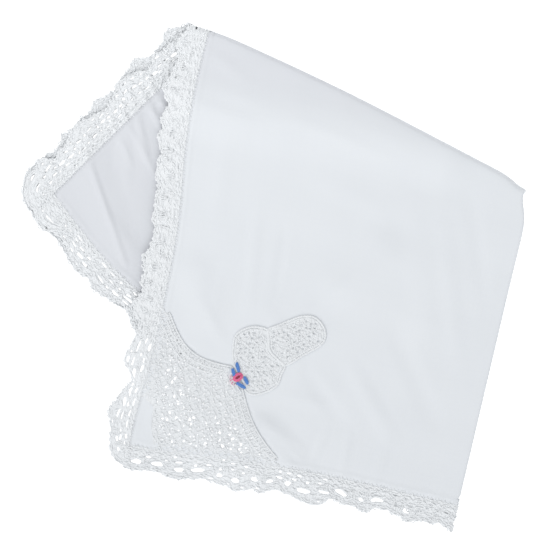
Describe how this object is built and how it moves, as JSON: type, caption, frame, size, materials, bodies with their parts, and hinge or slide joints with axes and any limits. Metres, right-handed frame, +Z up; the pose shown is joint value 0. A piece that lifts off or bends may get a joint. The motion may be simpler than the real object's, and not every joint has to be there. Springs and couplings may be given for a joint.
{
  "type": "lace handkerchief",
  "caption": "White cotton handkerchief with a crocheted lace edging and a butterfly corner, folded in quarters and lying flat.",
  "frame": {"origin": "middle of the folded pile's box, on the surface that it lies on", "axes": "+Z up out of the surface; +Y towards the top fold, +X towards the right fold, butterfly corner at -X -Y"},
  "size_m": [0.2174, 0.2206, 0.0076],
  "materials": {
    "cotton_lawn": "fine plain-woven white cotton, soft and slightly sheer",
    "crochet_cotton": "fine white crochet thread, matt",
    "pink_thread": "satin stitched embroidery thread",
    "blue_thread": "satin stitched embroidery thread"
  },
  "bodies": {
    "root": {"cloth": "cotton_lawn", "lace_border": "crochet_cotton", "corner_net": "crochet_cotton", "wings": "crochet_cotton", "bud": "pink_thread", "petal_1": "blue_thread", "petal_2": "blue_thread", "petal_3": "blue_thread", "petal_4": "blue_thread"}
  },
  "joints": []
}
